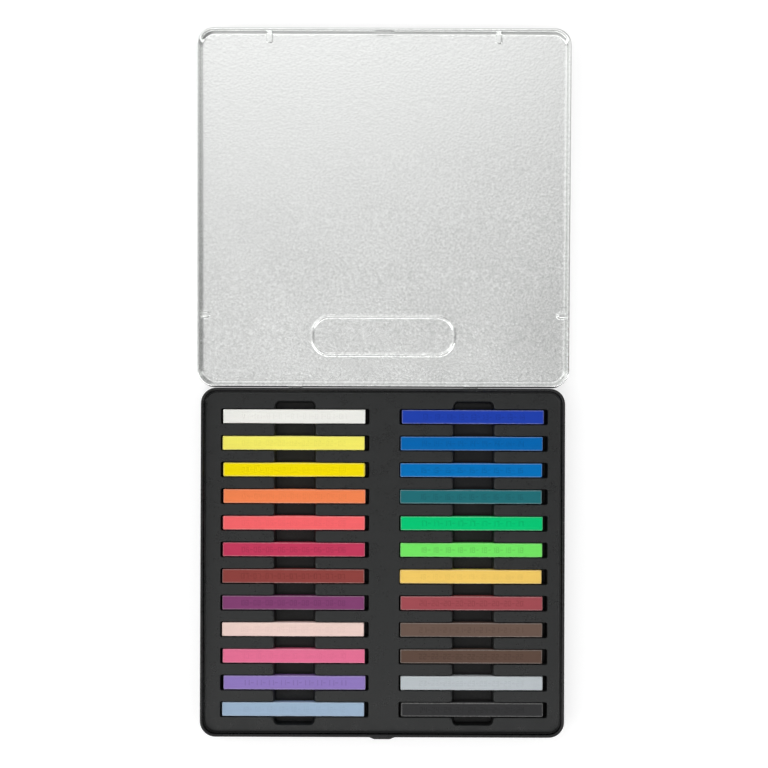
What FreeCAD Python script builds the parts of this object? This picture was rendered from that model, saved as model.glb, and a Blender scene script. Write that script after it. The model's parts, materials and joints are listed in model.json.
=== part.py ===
import FreeCAD, Part
import math
import os
import Sketcher

# Hinged tin of square pastel sticks, open as it lies on a desk.
# Millimetres. Origin in the middle of the underside of the base, +Z up, +Y towards the hinge.

doc = FreeCAD.newDocument("pastel_tin")

# Distance under which two heights count as the same
TOUCH = 0.001
# Angles in degrees
QUARTER_TURN = 90
HALF_TURN = 180

# Driving sizes

SIZES = [
    # One pastel stick
    ("stick_length", 72, "length of a stick"),
    ("stick_side", 7, "side of its square section"),
    ("stick_edge", 0.35, "worn-off width of its long edges"),
    # The vacuum-formed insert
    ("rows", 12, "sticks in a column"),
    ("slot_end_play", 1.4, "gap at each end of a stick in the middle of its slot"),
    ("slot_side_play", 0.25, "gap at each side of a stick"),
    ("stick_sink", 0.4, "how far a stick lies below the face of the insert"),
    ("row_land", 6, "face between two rows"),
    ("column_land", 15.7, "face between the two columns"),
    ("left_land", 8.35, "face to the left of the columns"),
    ("right_land", 6.85, "face to the right of the columns"),
    ("rear_land", 9.05, "face behind the rows"),
    ("front_land", 7.75, "face in front of the rows"),
    ("channel_width", 20.4, "mouth of a finger channel"),
    ("channel_depth", 5, "depth of a finger channel"),
    ("channel_draft", 10, "draft of its walls, degrees"),
    ("channel_end", 4.2, "channel beyond the outer sticks"),
    ("channel_corner", 2.4, "corner radius of a channel, seen from above"),
    ("insert_film", 0.5, "thickness of the formed plastic"),
    ("insert_corner", 6.2, "corner radius of the insert"),
    ("insert_edge", 0.5, "bevel of the top edge of the insert"),
    # The base
    ("base_sheet", 0.3, "thickness of the sheet of the base"),
    ("base_corner", 7.9, "corner radius of the base"),
    ("base_fold", 1.5, "outer radius where the walls meet the floor"),
    ("base_crease", 0.7, "bevel inside that fold"),
    ("base_roll", 0.75, "radius of the rim rolled inwards"),
    ("insert_play", 0.2, "gap between the rolled rim and the foot of the insert"),
    ("insert_recess", 4.3, "depth of the face of the insert below the rim"),
    ("base_roll_end", 0, "where the rolled rim ends, degrees round from the inside"),
    ("lip_root", 14.8, "width of the catch lip at the wall"),
    ("lip_tip", 9.8, "width of the catch lip at its tip"),
    ("lip_reach", 1.1, "how far the catch lip stands out"),
    ("lip_thickness", 0.6, "thickness of the catch lip, folded double"),
    ("lip_drop", 0.9, "how far the lip lies below the rim"),
    # The lid
    ("lid_sheet", 0.3, "thickness of the sheet of the lid"),
    ("lid_corner", 7.6, "corner radius of the outer wall of the lid"),
    ("lid_fold", 1.5, "outer radius where the walls meet the panel"),
    ("lid_crease", 0.7, "bevel inside that fold"),
    ("lid_roll", 0.8, "radius of the rim rolled outwards"),
    ("lid_roll_end", 90, "where the rolled rim ends, degrees up from the inside"),
    ("lid_depth", 7.5, "height of the lid"),
    ("lid_side_play", 0.95, "gap between lid and base at the sides"),
    ("lid_front_play", 1.65, "gap between lid and base at the front"),
    ("lid_rear_play", 0.25, "gap between lid and base at the hinge"),
    ("lid_rest_height", 1, "air between the panel and the rim of the shut base"),
    ("lid_open_angle", 177.5, "opening angle of the lid, degrees"),
    # The hinge: lugs of the base round the rolled rear rim of the lid
    ("hinge_spread", 93.5, "between the middles of the two windows"),
    ("window_width", 12.4, "width of a window in the lid"),
    ("window_height", 1.45, "height of a window above the rolled rim"),
    ("lug_width", 7.2, "width of a lug"),
    ("lug_side_gap", 0.3, "gap between a lug and the inner end of its window"),
    ("lug_gap", 0.1, "running gap between a lug and the rolled rim"),
    ("lug_wrap", 100, "where a lug ends, degrees round from the rear"),
    # Pressed details of the lid
    ("rest_gap", 0.1, "air between the four rests and the rim of the shut base"),
    ("rest_width", 3.3, "width of a rest"),
    ("rest_length", 5.5, "length of a front rest"),
    ("rest_spread", 116.2, "between the two front rests"),
    ("side_rest_length", 4.4, "length of a side rest"),
    ("side_rest_place", 36, "from the hinge axis to a side rest"),
    ("rest_corner", 1.4, "corner radius of a rest, seen from above"),
    ("catch_width", 11.6, "width of the catch dimple at the wall"),
    ("catch_crest", 7, "width of the catch dimple at its crest"),
    ("catch_depth", 0.75, "how far the catch dimple stands in"),
    ("catch_height", 2.2, "height of the catch dimple"),
    ("catch_gap", 0.25, "gap under the lip when the lid is shut"),
    ("cartouche_length", 74, "length of the pressed cartouche"),
    ("cartouche_width", 21, "width of the pressed cartouche"),
    ("cartouche_corner", 9.5, "corner radius of the pressed cartouche"),
    ("cartouche_bead", 1.6, "width of its pressed line"),
    ("cartouche_height", 0.35, "height of its pressed line"),
    ("cartouche_place", 25.4, "from the hinge axis to the middle of the cartouche"),
]

# Sizes that follow from the driving sizes

FITS = [
    ("slot_length", "sizes.stick_length + 2 * sizes.slot_end_play"),
    ("slot_width", "sizes.stick_side + 2 * sizes.slot_side_play"),
    ("slot_depth", "sizes.stick_side + sizes.stick_sink"),
    ("row_pitch", "fits.slot_width + sizes.row_land"),
    ("row_span", "(sizes.rows - 1) * fits.row_pitch"),
    ("column_pitch", "fits.slot_length + sizes.column_land"),
    ("channel_length", "fits.row_span + sizes.stick_side + 2 * sizes.channel_end"),
    ("insert_height", "fits.slot_depth + sizes.insert_film"),
    ("insert_width", "fits.column_pitch + fits.slot_length + sizes.left_land + sizes.right_land"),
    ("insert_length", "fits.row_span + fits.slot_width + sizes.rear_land + sizes.front_land"),
    ("grid_right", "(sizes.left_land - sizes.right_land) / 2"),
    ("grid_back", "(sizes.front_land - sizes.rear_land) / 2"),
    ("base_width", "fits.insert_width + 2 * sizes.insert_play + 4 * sizes.base_roll"),
    ("base_length", "fits.insert_length + 2 * sizes.insert_play + 4 * sizes.base_roll"),
    ("base_height", "sizes.base_sheet + fits.insert_height + sizes.insert_recess"),
    ("rim_level", "fits.base_height - sizes.base_roll"),
    ("lid_inner_width", "fits.base_width + 2 * sizes.lid_side_play"),
    ("lid_inner_length", "fits.base_length + sizes.lid_rear_play + sizes.lid_front_play"),
    ("panel_level", "sizes.lid_depth - sizes.lid_roll - sizes.lid_sheet"),
    ("axis_back", "fits.base_length / 2 + sizes.lid_rear_play + sizes.lid_roll"),
    ("axis_level", "fits.base_height + sizes.lid_rest_height - fits.panel_level"),
    ("lug_inner", "sizes.lid_roll + sizes.lug_gap"),
    ("lug_outer", "fits.lug_inner + sizes.base_sheet"),
    ("lug_blank", "(sizes.lug_wrap + 90) * pi / 180 * (fits.lug_inner + fits.lug_outer) / 2 + "
     "sizes.lid_rear_play + sizes.lid_roll"),
    ("window_start", "sizes.hinge_spread / 2 - sizes.window_width / 2"),
    ("lug_start", "fits.window_start + sizes.lug_side_gap"),
    ("rest_rise", "sizes.lid_rest_height - sizes.rest_gap"),
    ("lip_level", "fits.base_height - sizes.lip_drop - sizes.lip_thickness"),
    ("catch_level", "fits.lip_level - sizes.catch_gap - fits.axis_level - sizes.catch_height"),
]

# Where each stick lies in the play of its slot, as shares of the free play, chosen by eye
LEFT_PLACE_SHARES = (-0.35, -0.55, -0.35, -0.2, -0.35, -0.35, -0.5, -0.45, -0.55, -0.25, 0.05, -0.4)
RIGHT_PLACE_SHARES = (-0.3, -0.7, -0.85, -0.9, -0.6, -0.7, -0.9, -0.55, -0.6, -0.6, -0.45, -0.25)

LEFT_COLOURS = ("white", "lemon", "yellow", "orange", "coral", "crimson", "brick", "purple",
                "blush", "rose", "lilac", "sky")
RIGHT_COLOURS = ("ultramarine", "blue", "azure", "teal", "emerald", "lime", "ochre", "russet",
                 "umber", "sepia", "silver_grey", "black")

sheet = doc.addObject("Spreadsheet::Sheet", "sizes")
for row, (alias, value, meaning) in enumerate(SIZES, start=1):
    sheet.set("A%d" % row, str(value))
    sheet.setAlias("A%d" % row, alias)
    sheet.set("B%d" % row, meaning)
doc.recompute()

fits = doc.addObject("App::VarSet", "fits")
for name, formula in FITS:
    fits.addProperty("App::PropertyFloat", name, "fits")
    fits.setExpression(name, formula)
doc.recompute()


# Sketch helpers


def new_body(label):
    body = doc.addObject("PartDesign::Body", label)
    body.Label = label
    return body


def origin_plane(body, role):
    return next(plane for plane in body.Origin.OriginFeatures if plane.Role == role)


def new_sketch(body, name, role="XY_Plane", offset=None, aside=None):
    """Sketch on an origin plane of its own body, moved along the plane's normal and along its own
    X axis by formulas."""
    sketch = body.newObject("Sketcher::SketchObject", name)
    sketch.AttachmentSupport = [(origin_plane(body, role), "")]
    sketch.MapMode = "FlatFace"
    if offset:
        sketch.setExpression("AttachmentOffset.Base.z", offset)
    if aside:
        sketch.setExpression("AttachmentOffset.Base.x", aside)
    doc.recompute()
    return sketch


def number(sketch, formula):
    return float(sketch.evalExpression(formula))


def spot(sketch, x, y):
    return FreeCAD.Vector(number(sketch, x), number(sketch, y), 0)


def bind(sketch, kind, *where, formula):
    """Add a dimension that follows a formula. Angles are in degrees."""
    value = number(sketch, formula)
    if kind == "Angle":
        value = math.radians(value)
    index = sketch.addConstraint(Sketcher.Constraint(kind, *where, value))
    sketch.setExpression("Constraints[%d]" % index, formula)


def join(sketch, kind, *where):
    sketch.addConstraint(Sketcher.Constraint(kind, *where))


def hold(sketch, kind, geometry, point, formula):
    """Hold a point of a sketch at a signed distance from the origin, along X or Y."""
    if formula == "0":
        axis = -2 if kind == "DistanceX" else -1
        join(sketch, "PointOnObject", geometry, point, axis)
    elif number(sketch, formula) > 0:
        bind(sketch, kind, -1, 1, geometry, point, formula=formula)
    else:
        bind(sketch, kind, geometry, point, -1, 1, formula="-(%s)" % formula)


def polygon(sketch, points):
    """Closed outline of straight lines through points, each a pair of formulas."""
    spots = [spot(sketch, *point) for point in points]
    lines = [sketch.addGeometry(Part.LineSegment(start, end))
             for start, end in zip(spots, spots[1:] + spots[:1])]
    for line, following in zip(lines, lines[1:] + lines[:1]):
        join(sketch, "Coincident", line, 2, following, 1)
    for line, (x, y) in zip(lines, points):
        hold(sketch, "DistanceX", line, 1, x)
        hold(sketch, "DistanceY", line, 1, y)


def rounded_rectangle(sketch, west, east, south, north, corner):
    """Rectangle with round corners. Its four sides are formulas for signed places."""
    low, high = spot(sketch, west, south), spot(sketch, east, north)
    radius = number(sketch, corner)
    centres = [(high.x - radius, low.y + radius), (high.x - radius, high.y - radius),
               (low.x + radius, high.y - radius), (low.x + radius, low.y + radius)]
    lines, arcs = [], []
    for turn, (x, y) in enumerate(centres):
        start = FreeCAD.Vector(x, y, 0)
        before = FreeCAD.Vector(*centres[turn - 1], 0)
        outward = FreeCAD.Rotation(FreeCAD.Vector(0, 0, 1), 90 * turn - 90).multVec(
            FreeCAD.Vector(radius, 0, 0))
        lines.append(sketch.addGeometry(Part.LineSegment(before + outward, start + outward)))
        circle = Part.Circle(start, FreeCAD.Vector(0, 0, 1), radius)
        angle = math.radians(90 * turn - 90)
        arcs.append(sketch.addGeometry(Part.ArcOfCircle(circle, angle, angle + math.pi / 2)))
    for line, arc, following in zip(lines, arcs, lines[1:] + lines[:1]):
        join(sketch, "Tangent", line, 2, arc, 1)
        join(sketch, "Tangent", arc, 2, following, 1)
    for arc in arcs[1:]:
        join(sketch, "Equal", arcs[0], arc)
    join(sketch, "Horizontal", lines[0])
    join(sketch, "Horizontal", lines[2])
    join(sketch, "Vertical", lines[1])
    join(sketch, "Vertical", lines[3])
    bind(sketch, "Radius", arcs[0], formula=corner)
    hold(sketch, "DistanceY", lines[0], 1, south)
    hold(sketch, "DistanceX", lines[1], 1, east)
    hold(sketch, "DistanceY", lines[2], 1, north)
    hold(sketch, "DistanceX", lines[3], 1, west)


def segment(sketch, x, y, radius, start, end):
    """Part of a disc: an arc between two angles, closed by its chord. All are formulas."""
    centre = spot(sketch, x, y)
    angles = [math.radians(number(sketch, angle)) for angle in (start, end)]
    circle = Part.Circle(centre, FreeCAD.Vector(0, 0, 1), number(sketch, radius))
    arc = sketch.addGeometry(Part.ArcOfCircle(circle, *angles))
    for point, angle in ((1, start), (2, end)):
        tip = sketch.getPoint(arc, point)
        spoke = sketch.addGeometry(Part.LineSegment(centre, tip), True)
        join(sketch, "Coincident", spoke, 1, arc, 3)
        join(sketch, "Coincident", spoke, 2, arc, point)
        aim(sketch, spoke, angle)
    chord = sketch.addGeometry(Part.LineSegment(sketch.getPoint(arc, 1), sketch.getPoint(arc, 2)))
    join(sketch, "Coincident", chord, 1, arc, 1)
    join(sketch, "Coincident", chord, 2, arc, 2)
    hold(sketch, "DistanceX", arc, 3, x)
    hold(sketch, "DistanceY", arc, 3, y)
    bind(sketch, "Radius", arc, formula=radius)


def aim(sketch, line, angle):
    """Give a line its direction, a formula in degrees."""
    if number(sketch, angle) % HALF_TURN == 0:
        join(sketch, "Horizontal", line)
    elif number(sketch, angle) % QUARTER_TURN == 0:
        join(sketch, "Vertical", line)
    else:
        bind(sketch, "Angle", line, formula=angle)


def thick_arc(sketch, x, y, outer, inner, start, end):
    """Section of a curled sheet: a thick arc between two angles, closed by radial ends.
    The place, radii and angles are formulas. Returns the arcs and the end lines."""
    centre = spot(sketch, x, y)
    radii = [number(sketch, inner), number(sketch, outer)]
    first, last = math.radians(number(sketch, start)), math.radians(number(sketch, end))
    arcs = []
    for radius in radii:
        circle = Part.Circle(centre, FreeCAD.Vector(0, 0, 1), radius)
        arcs.append(sketch.addGeometry(Part.ArcOfCircle(circle, first, last)))
    ends = []
    for angle, point, formula in ((first, 1, start), (last, 2, end)):
        inward, outward = [centre + FreeCAD.Vector(math.cos(angle), math.sin(angle), 0) * radius
                           for radius in radii]
        line = sketch.addGeometry(Part.LineSegment(inward, outward))
        join(sketch, "Coincident", line, 1, arcs[0], point)
        join(sketch, "Coincident", line, 2, arcs[1], point)
        aim(sketch, line, formula)
        ends.append(line)
    join(sketch, "Coincident", arcs[0], 3, arcs[1], 3)
    join(sketch, "PointOnObject", arcs[0], 3, ends[0])
    hold(sketch, "DistanceX", arcs[0], 3, x)
    hold(sketch, "DistanceY", arcs[0], 3, y)
    bind(sketch, "Radius", arcs[0], formula=inner)
    bind(sketch, "Radius", arcs[1], formula=outer)
    return arcs, ends


# Feature helpers


def extrude(body, kind, name, sketch, length, reverse=False, both_ways=False):
    """Pad or Pocket of a sketch, by a formula for its length."""
    feature = body.newObject("PartDesign::" + kind, name)
    feature.Profile = sketch
    feature.Reversed = reverse
    feature.Midplane = both_ways
    feature.setExpression("Length", length)
    doc.recompute()
    return feature


def turn(body, name, sketch, reverse=False):
    """Quarter turn of a sketch about its own Y axis."""
    feature = body.newObject("PartDesign::Revolution", name)
    feature.Profile = sketch
    feature.ReferenceAxis = (sketch, ["V_Axis"])
    feature.Angle = QUARTER_TURN
    feature.Reversed = reverse
    doc.recompute()
    return feature


def cut(body, name, sketch, length, **options):
    """Pocket that must take material away."""
    before = body.Shape.Volume
    feature = extrude(body, "Pocket", name, sketch, length, **options)
    if not body.Shape.Volume < before:
        raise RuntimeError(name + " cuts nothing")
    return feature


def round_edges(body, name, kind, radius, level=None):
    """Fillet or Chamfer on all edges, or on those that lie wholly at one height."""
    base = body.Tip
    edges = []
    for index, edge in enumerate(base.Shape.Edges, start=1):
        heights = [vertex.Z for vertex in edge.Vertexes]
        if level is None or all(abs(height - number(body, level)) < TOUCH for height in heights):
            edges.append("Edge%d" % index)
    feature = body.newObject("PartDesign::" + kind, name)
    feature.Base = (base, edges)
    feature.setExpression("Radius" if kind == "Fillet" else "Size", radius)
    doc.recompute()
    return feature


def mirror(body, name, *features):
    """Repeat features on the other side of the middle plane."""
    feature = body.newObject("PartDesign::Mirrored", name)
    feature.Originals = list(features)
    feature.MirrorPlane = (origin_plane(body, "YZ_Plane"), [""])
    body.Tip = feature
    doc.recompute()
    return feature


def lean_walls(body, name, low, high, angle, reverse=False):
    """Draft on the upright walls between two heights. They keep their place in the top plane."""
    base = body.Tip
    bottom, top, neutral = (number(body, level) for level in (low, high, "fits.insert_height"))
    walls, planes = [], []
    for index, face in enumerate(base.Shape.Faces, start=1):
        box = face.BoundBox
        if abs(box.ZMin - bottom) < TOUCH and abs(box.ZMax - top) < TOUCH:
            walls.append("Face%d" % index)
        if abs(box.ZMin - neutral) < TOUCH and abs(box.ZMax - neutral) < TOUCH:
            planes.append("Face%d" % index)
    feature = body.newObject("PartDesign::Draft", name)
    feature.Base = (base, walls)
    feature.NeutralPlane = (base, planes[:1])
    feature.setExpression("Angle", angle)
    feature.Reversed = reverse
    doc.recompute()
    return feature


def rolled_rim(body, name, roll, level, track):
    """Closed rolled edge of the sheet, once round. The roll is its radius and the two angles of its
    section, for a side whose outside is at 180 degrees. The middle of the section runs on the track:
    half its width, its south and north ends and its corner radius. All are formulas."""
    radius, start, end = roll
    half_width, south, north, corner = track

    def section(part, x, role, offset=None, aside=None, turned=False):
        sketch = new_sketch(body, "%s_%s_section" % (name, part), role, offset=offset, aside=aside)
        first, last = ("180 - (%s)" % end, "180 - (%s)" % start) if turned else (start, end)
        segment(sketch, x, level, radius, first, last)
        return sketch

    width = "2 * (%s - (%s))" % (half_width, corner)
    length = "%s - (%s) - 2 * (%s)" % (north, south, corner)
    corner_x = "-(%s - (%s))" % (half_width, corner)
    extrude(body, "Pad", name + "_south", section("south", south, "YZ_Plane"), width, both_ways=True)
    extrude(body, "Pad", name + "_north", section("north", north, "YZ_Plane", turned=True), width,
            both_ways=True)
    side = extrude(body, "Pad", name + "_side",
                   section("side", "-(%s)" % half_width, "XZ_Plane", offset="-(%s + %s) / 2" % (south, north)),
                   length, both_ways=True)
    first_corner = turn(body, name + "_south_corner", section(
        "south_corner", "-(%s)" % corner, "XZ_Plane", offset="-(%s + %s)" % (south, corner),
        aside=corner_x))
    second_corner = turn(body, name + "_north_corner", section(
        "north_corner", "-(%s)" % corner, "XZ_Plane", offset="-(%s - (%s))" % (north, corner),
        aside=corner_x), reverse=True)
    mirror(body, name + "_other_side", side, first_corner, second_corner)


# Base tin


def build_base():
    body = new_body("base_tin")
    half_width, half_length = "fits.base_width / 2", "fits.base_length / 2"
    outline = new_sketch(body, "base_outline")
    rounded_rectangle(outline, "-" + half_width, half_width, "-" + half_length, half_length,
                      "sizes.base_corner")
    extrude(body, "Pad", "base_block", outline, "fits.rim_level")
    inner_width, inner_length = half_width + " - sizes.base_sheet", half_length + " - sizes.base_sheet"
    inside = new_sketch(body, "base_inside", offset="fits.rim_level")
    rounded_rectangle(inside, "-(%s)" % inner_width, inner_width, "-(%s)" % inner_length, inner_length,
                      "sizes.base_corner - sizes.base_sheet")
    cut(body, "base_cavity", inside, "fits.rim_level - sizes.base_sheet")
    round_edges(body, "base_inner_fold", "Chamfer", "sizes.base_crease", level="sizes.base_sheet")
    round_edges(body, "base_floor_fold", "Fillet", "sizes.base_fold", level="0")

    rolled_width = half_width + " - sizes.base_roll"
    rolled_length = half_length + " - sizes.base_roll"
    rolled_rim(body, "base_rim", ("sizes.base_roll", "sizes.base_roll_end", "180"),
               "fits.rim_level", (rolled_width, "-(%s)" % rolled_length, rolled_length,
                                  "sizes.base_corner - sizes.base_roll"))

    lance = new_sketch(body, "lug_lance", "XZ_Plane", offset="-" + half_length)
    lug_end = "fits.lug_start + sizes.lug_width"
    lug_foot = "fits.axis_level - fits.lug_inner"
    polygon(lance, [("fits.lug_start", lug_foot), (lug_end, lug_foot),
                    (lug_end, lug_foot + " + fits.lug_blank"),
                    ("fits.lug_start", lug_foot + " + fits.lug_blank")])
    opening = cut(body, "lug_opening", lance, "4 * sizes.base_sheet", both_ways=True)
    curl = new_sketch(body, "lug_curl", "YZ_Plane", offset="fits.lug_start")
    lug_profile(curl)
    lug = extrude(body, "Pad", "lug", curl, "sizes.lug_width")
    mirror(body, "second_lug", opening, lug)

    lip = new_sketch(body, "lip_outline", offset="fits.lip_level")
    wall = "-(fits.base_length / 2 - sizes.base_sheet / 2)"
    tip = "-(fits.base_length / 2 + sizes.lip_reach)"
    polygon(lip, [("-sizes.lip_root / 2", wall), ("-sizes.lip_tip / 2", tip),
                  ("sizes.lip_tip / 2", tip), ("sizes.lip_root / 2", wall)])
    extrude(body, "Pad", "catch_lip", lip, "sizes.lip_thickness")
    return body


def lug_profile(sketch):
    """J-shaped section of a lug: a straight foot out of the wall, then a curl round the hinge axis."""
    arcs, ends = thick_arc(sketch, "fits.axis_back", "fits.axis_level", "fits.lug_outer",
                           "fits.lug_inner", "-90", "sizes.lug_wrap")
    wall = "fits.base_length / 2 - sizes.base_sheet"
    corners = [spot(sketch, wall, "fits.axis_level - " + radius)
               for radius in ("fits.lug_inner", "fits.lug_outer")]
    sketch.setConstruction(ends[0], True)
    feet = [sketch.addGeometry(Part.LineSegment(corner, sketch.Geometry[arc].StartPoint))
            for corner, arc in zip(corners, arcs)]
    back = sketch.addGeometry(Part.LineSegment(*corners))
    for foot, arc, point in zip(feet, arcs, (1, 2)):
        join(sketch, "Coincident", foot, 2, arc, 1)
        join(sketch, "Horizontal", foot)
        join(sketch, "Coincident", back, point, foot, 1)
    join(sketch, "Vertical", back)
    hold(sketch, "DistanceX", back, 1, wall)


# Lid. Its own frame has the hinge axis as its X axis and shows it shut, its front towards -Y.


def build_lid():
    body = new_body("lid")
    half_width = "fits.lid_inner_width / 2"
    front = "-(sizes.lid_roll + fits.lid_inner_length)"
    outline = new_sketch(body, "lid_outline")
    rounded_rectangle(outline, "-(%s + sizes.lid_sheet)" % half_width, half_width + " + sizes.lid_sheet",
                      front + " - sizes.lid_sheet", "-(sizes.lid_roll - sizes.lid_sheet)",
                      "sizes.lid_corner")
    top = "fits.panel_level + sizes.lid_sheet"
    extrude(body, "Pad", "lid_block", outline, top)
    inside = new_sketch(body, "lid_inside")
    rounded_rectangle(inside, "-" + half_width, half_width, front, "-sizes.lid_roll",
                      "sizes.lid_corner - sizes.lid_sheet")
    cut(body, "lid_cavity", inside, "fits.panel_level", reverse=True)
    round_edges(body, "lid_inner_fold", "Chamfer", "sizes.lid_crease", level="fits.panel_level")
    round_edges(body, "lid_fold", "Fillet", "sizes.lid_fold", level=top)

    window = new_sketch(body, "window_outline", "XZ_Plane")
    window_end = "fits.window_start + sizes.window_width"
    polygon(window, [("fits.window_start", "-sizes.lid_roll"), (window_end, "-sizes.lid_roll"),
                     (window_end, "sizes.window_height"), ("fits.window_start", "sizes.window_height")])
    opening = cut(body, "window", window, "4 * sizes.lid_roll", both_ways=True)
    mirror(body, "second_window", opening)

    rolled_rim(body, "lid_rim", ("sizes.lid_roll", "sizes.lid_roll_end", "360"),
               "0", (half_width + " + sizes.lid_roll", front + " - sizes.lid_roll", "0",
                     "sizes.lid_corner - sizes.lid_sheet + sizes.lid_roll"))

    rests(body)
    catch_dimple(body)
    cartouche(body)
    body.setExpression("Placement", "placement(vector(0; fits.axis_back; fits.axis_level); "
                       "rotation(vector(-1; 0; 0); sizes.lid_open_angle))")
    return body


def rests(body):
    """Four low pressed ribs in the corner of wall and panel. The rim of the shut base lies on them."""
    panel = "fits.panel_level"
    half_rest, rise = "sizes.rest_width / 2", "fits.rest_rise"
    middle = "sizes.rest_spread / 2"
    front = "-(sizes.lid_roll + fits.lid_inner_length)"
    side = "fits.lid_inner_width / 2"
    place = "-sizes.side_rest_place"

    def front_rest(sketch, inset, wall):
        rounded_rectangle(sketch, "%s - %s + %s" % (middle, half_rest, inset),
                          "%s + %s - %s" % (middle, half_rest, inset), front + " + " + wall,
                          "%s + sizes.rest_length - %s" % (front, inset), "sizes.rest_corner - " + inset)

    def side_rest(sketch, inset, wall):
        rounded_rectangle(sketch, "%s - sizes.side_rest_length + %s" % (side, inset),
                          "%s - %s" % (side, wall), "%s - %s + %s" % (place, half_rest, inset),
                          "%s + %s - %s" % (place, half_rest, inset), "sizes.rest_corner - " + inset)

    for name, draw in (("front_rest", front_rest), ("side_rest", side_rest)):
        raised = new_sketch(body, name + "_outline", offset=panel)
        draw(raised, "0", "0")
        rib = extrude(body, "Pad", name, raised, rise, reverse=True)
        sunk = new_sketch(body, name + "_back", offset=panel + " + sizes.lid_sheet")
        draw(sunk, "sizes.lid_sheet", "sizes.lid_fold")
        hollow = cut(body, name + "_hollow", sunk, rise)
        mirror(body, "second_" + name, rib, hollow)


def catch_dimple(body):
    """Dimple pressed into the front wall, which snaps under the lip of the base."""
    front = "-(sizes.lid_roll + fits.lid_inner_length)"
    outside = front + " - sizes.lid_sheet"

    def outline(sketch, inset, wall, crest):
        polygon(sketch, [("-(sizes.catch_width / 2 - %s)" % inset, wall),
                         ("sizes.catch_width / 2 - " + inset, wall),
                         ("sizes.catch_crest / 2 - " + inset, crest),
                         ("-(sizes.catch_crest / 2 - %s)" % inset, crest)])

    raised = new_sketch(body, "catch_outline", offset="fits.catch_level")
    outline(raised, "0", front + " - sizes.lid_sheet / 2", front + " + sizes.catch_depth")
    extrude(body, "Pad", "catch", raised, "sizes.catch_height")
    sunk = new_sketch(body, "catch_back", offset="fits.catch_level + sizes.lid_sheet")
    outline(sunk, "sizes.lid_sheet", outside, outside + " + sizes.catch_depth")
    cut(body, "catch_hollow", sunk, "sizes.catch_height - 2 * sizes.lid_sheet", reverse=True)


def cartouche(body):
    """Plain long oval line pressed into the panel."""
    place = "-sizes.cartouche_place"

    def oval(sketch, inset):
        half_length = "(sizes.cartouche_length / 2 - (%s))" % inset
        half_width = "(sizes.cartouche_width / 2 - (%s))" % inset
        rounded_rectangle(sketch, "-" + half_length, half_length, "%s - %s" % (place, half_width),
                          "%s + %s" % (place, half_width), "sizes.cartouche_corner - (%s)" % inset)

    raised = new_sketch(body, "cartouche_outline", offset="fits.panel_level")
    oval(raised, "0")
    oval(raised, "sizes.cartouche_bead")
    extrude(body, "Pad", "cartouche", raised, "sizes.cartouche_height", reverse=True)
    sunk = new_sketch(body, "cartouche_back", offset="fits.panel_level + sizes.lid_sheet")
    oval(sunk, "sizes.lid_sheet")
    oval(sunk, "sizes.cartouche_bead - sizes.lid_sheet")
    cut(body, "cartouche_hollow", sunk, "sizes.cartouche_height")


# Insert. A block with slots and channels, hollowed from below as the film is formed.


def build_insert():
    body = new_body("stick_tray")
    half_width, half_length = "fits.insert_width / 2", "fits.insert_length / 2"
    outline = new_sketch(body, "insert_outline")
    rounded_rectangle(outline, "-" + half_width, half_width, "-" + half_length, half_length,
                      "sizes.insert_corner")
    extrude(body, "Pad", "insert_block", outline, "fits.insert_height")
    round_edges(body, "insert_bevel", "Chamfer", "sizes.insert_edge", level="fits.insert_height")

    film = "sizes.insert_film"
    inner_width, inner_length = half_width + " - " + film, half_length + " - " + film
    underside = new_sketch(body, "insert_underside")
    rounded_rectangle(underside, "-(%s)" % inner_width, inner_width, "-(%s)" % inner_length,
                      inner_length, "sizes.insert_corner - " + film)
    cut(body, "insert_cavity", underside, "fits.insert_height - " + film, reverse=True)

    tubs = hollow_outlines(body, "tub_outline", "channel", film)
    cups = hollow_outlines(body, "cup_outline", "slot", film)
    channels = hollow_outlines(body, "channel_outline", "channel", "0")
    slots = hollow_outlines(body, "slot_outline", "slot", "0")
    tub_floor = "fits.insert_height - sizes.channel_depth - " + film
    extrude(body, "Pad", "tubs", tubs, "sizes.channel_depth + " + film, reverse=True)
    repeat_rows(body, "cup_rows", cups,
                extrude(body, "Pad", "cups", cups, "fits.insert_height", reverse=True))
    cut(body, "channels", channels, "sizes.channel_depth")
    lean_walls(body, "channel_draft", "fits.insert_height - sizes.channel_depth", "fits.insert_height",
               "sizes.channel_draft")
    lean_walls(body, "tub_draft", tub_floor, "fits.insert_height - " + film, "sizes.channel_draft",
               reverse=True)
    repeat_rows(body, "slot_rows", slots, cut(body, "slots", slots, "fits.slot_depth"))
    body.setExpression("Placement.Base.z", "sizes.base_sheet")
    return body


def hollow_outlines(body, name, kind, wall):
    """Mouths of both channels, or of the two slots of the front row, widened by a wall. Only the
    mouths of the channels have round corners."""
    sketch = new_sketch(body, name, offset="fits.insert_height")
    for sign in ("-", ""):
        middle = "fits.grid_right + (%sfits.column_pitch / 2)" % sign
        if kind == "channel":
            half_width = "(sizes.channel_width / 2 + %s)" % wall
            south = "fits.grid_back - (fits.channel_length / 2 + %s)" % wall
            north = "fits.grid_back + fits.channel_length / 2 + " + wall
        else:
            half_width = "(fits.slot_length / 2 + %s)" % wall
            south = "fits.grid_back - (fits.row_span / 2 + fits.slot_width / 2 + %s)" % wall
            north = "fits.grid_back - (fits.row_span / 2 - fits.slot_width / 2 - %s)" % wall
        west, east = "%s - %s" % (middle, half_width), "%s + %s" % (middle, half_width)
        if kind == "channel" and wall == "0":
            rounded_rectangle(sketch, west, east, south, north, "sizes.channel_corner")
        else:
            polygon(sketch, [(west, south), (east, south), (east, north), (west, north)])
    return sketch


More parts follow.
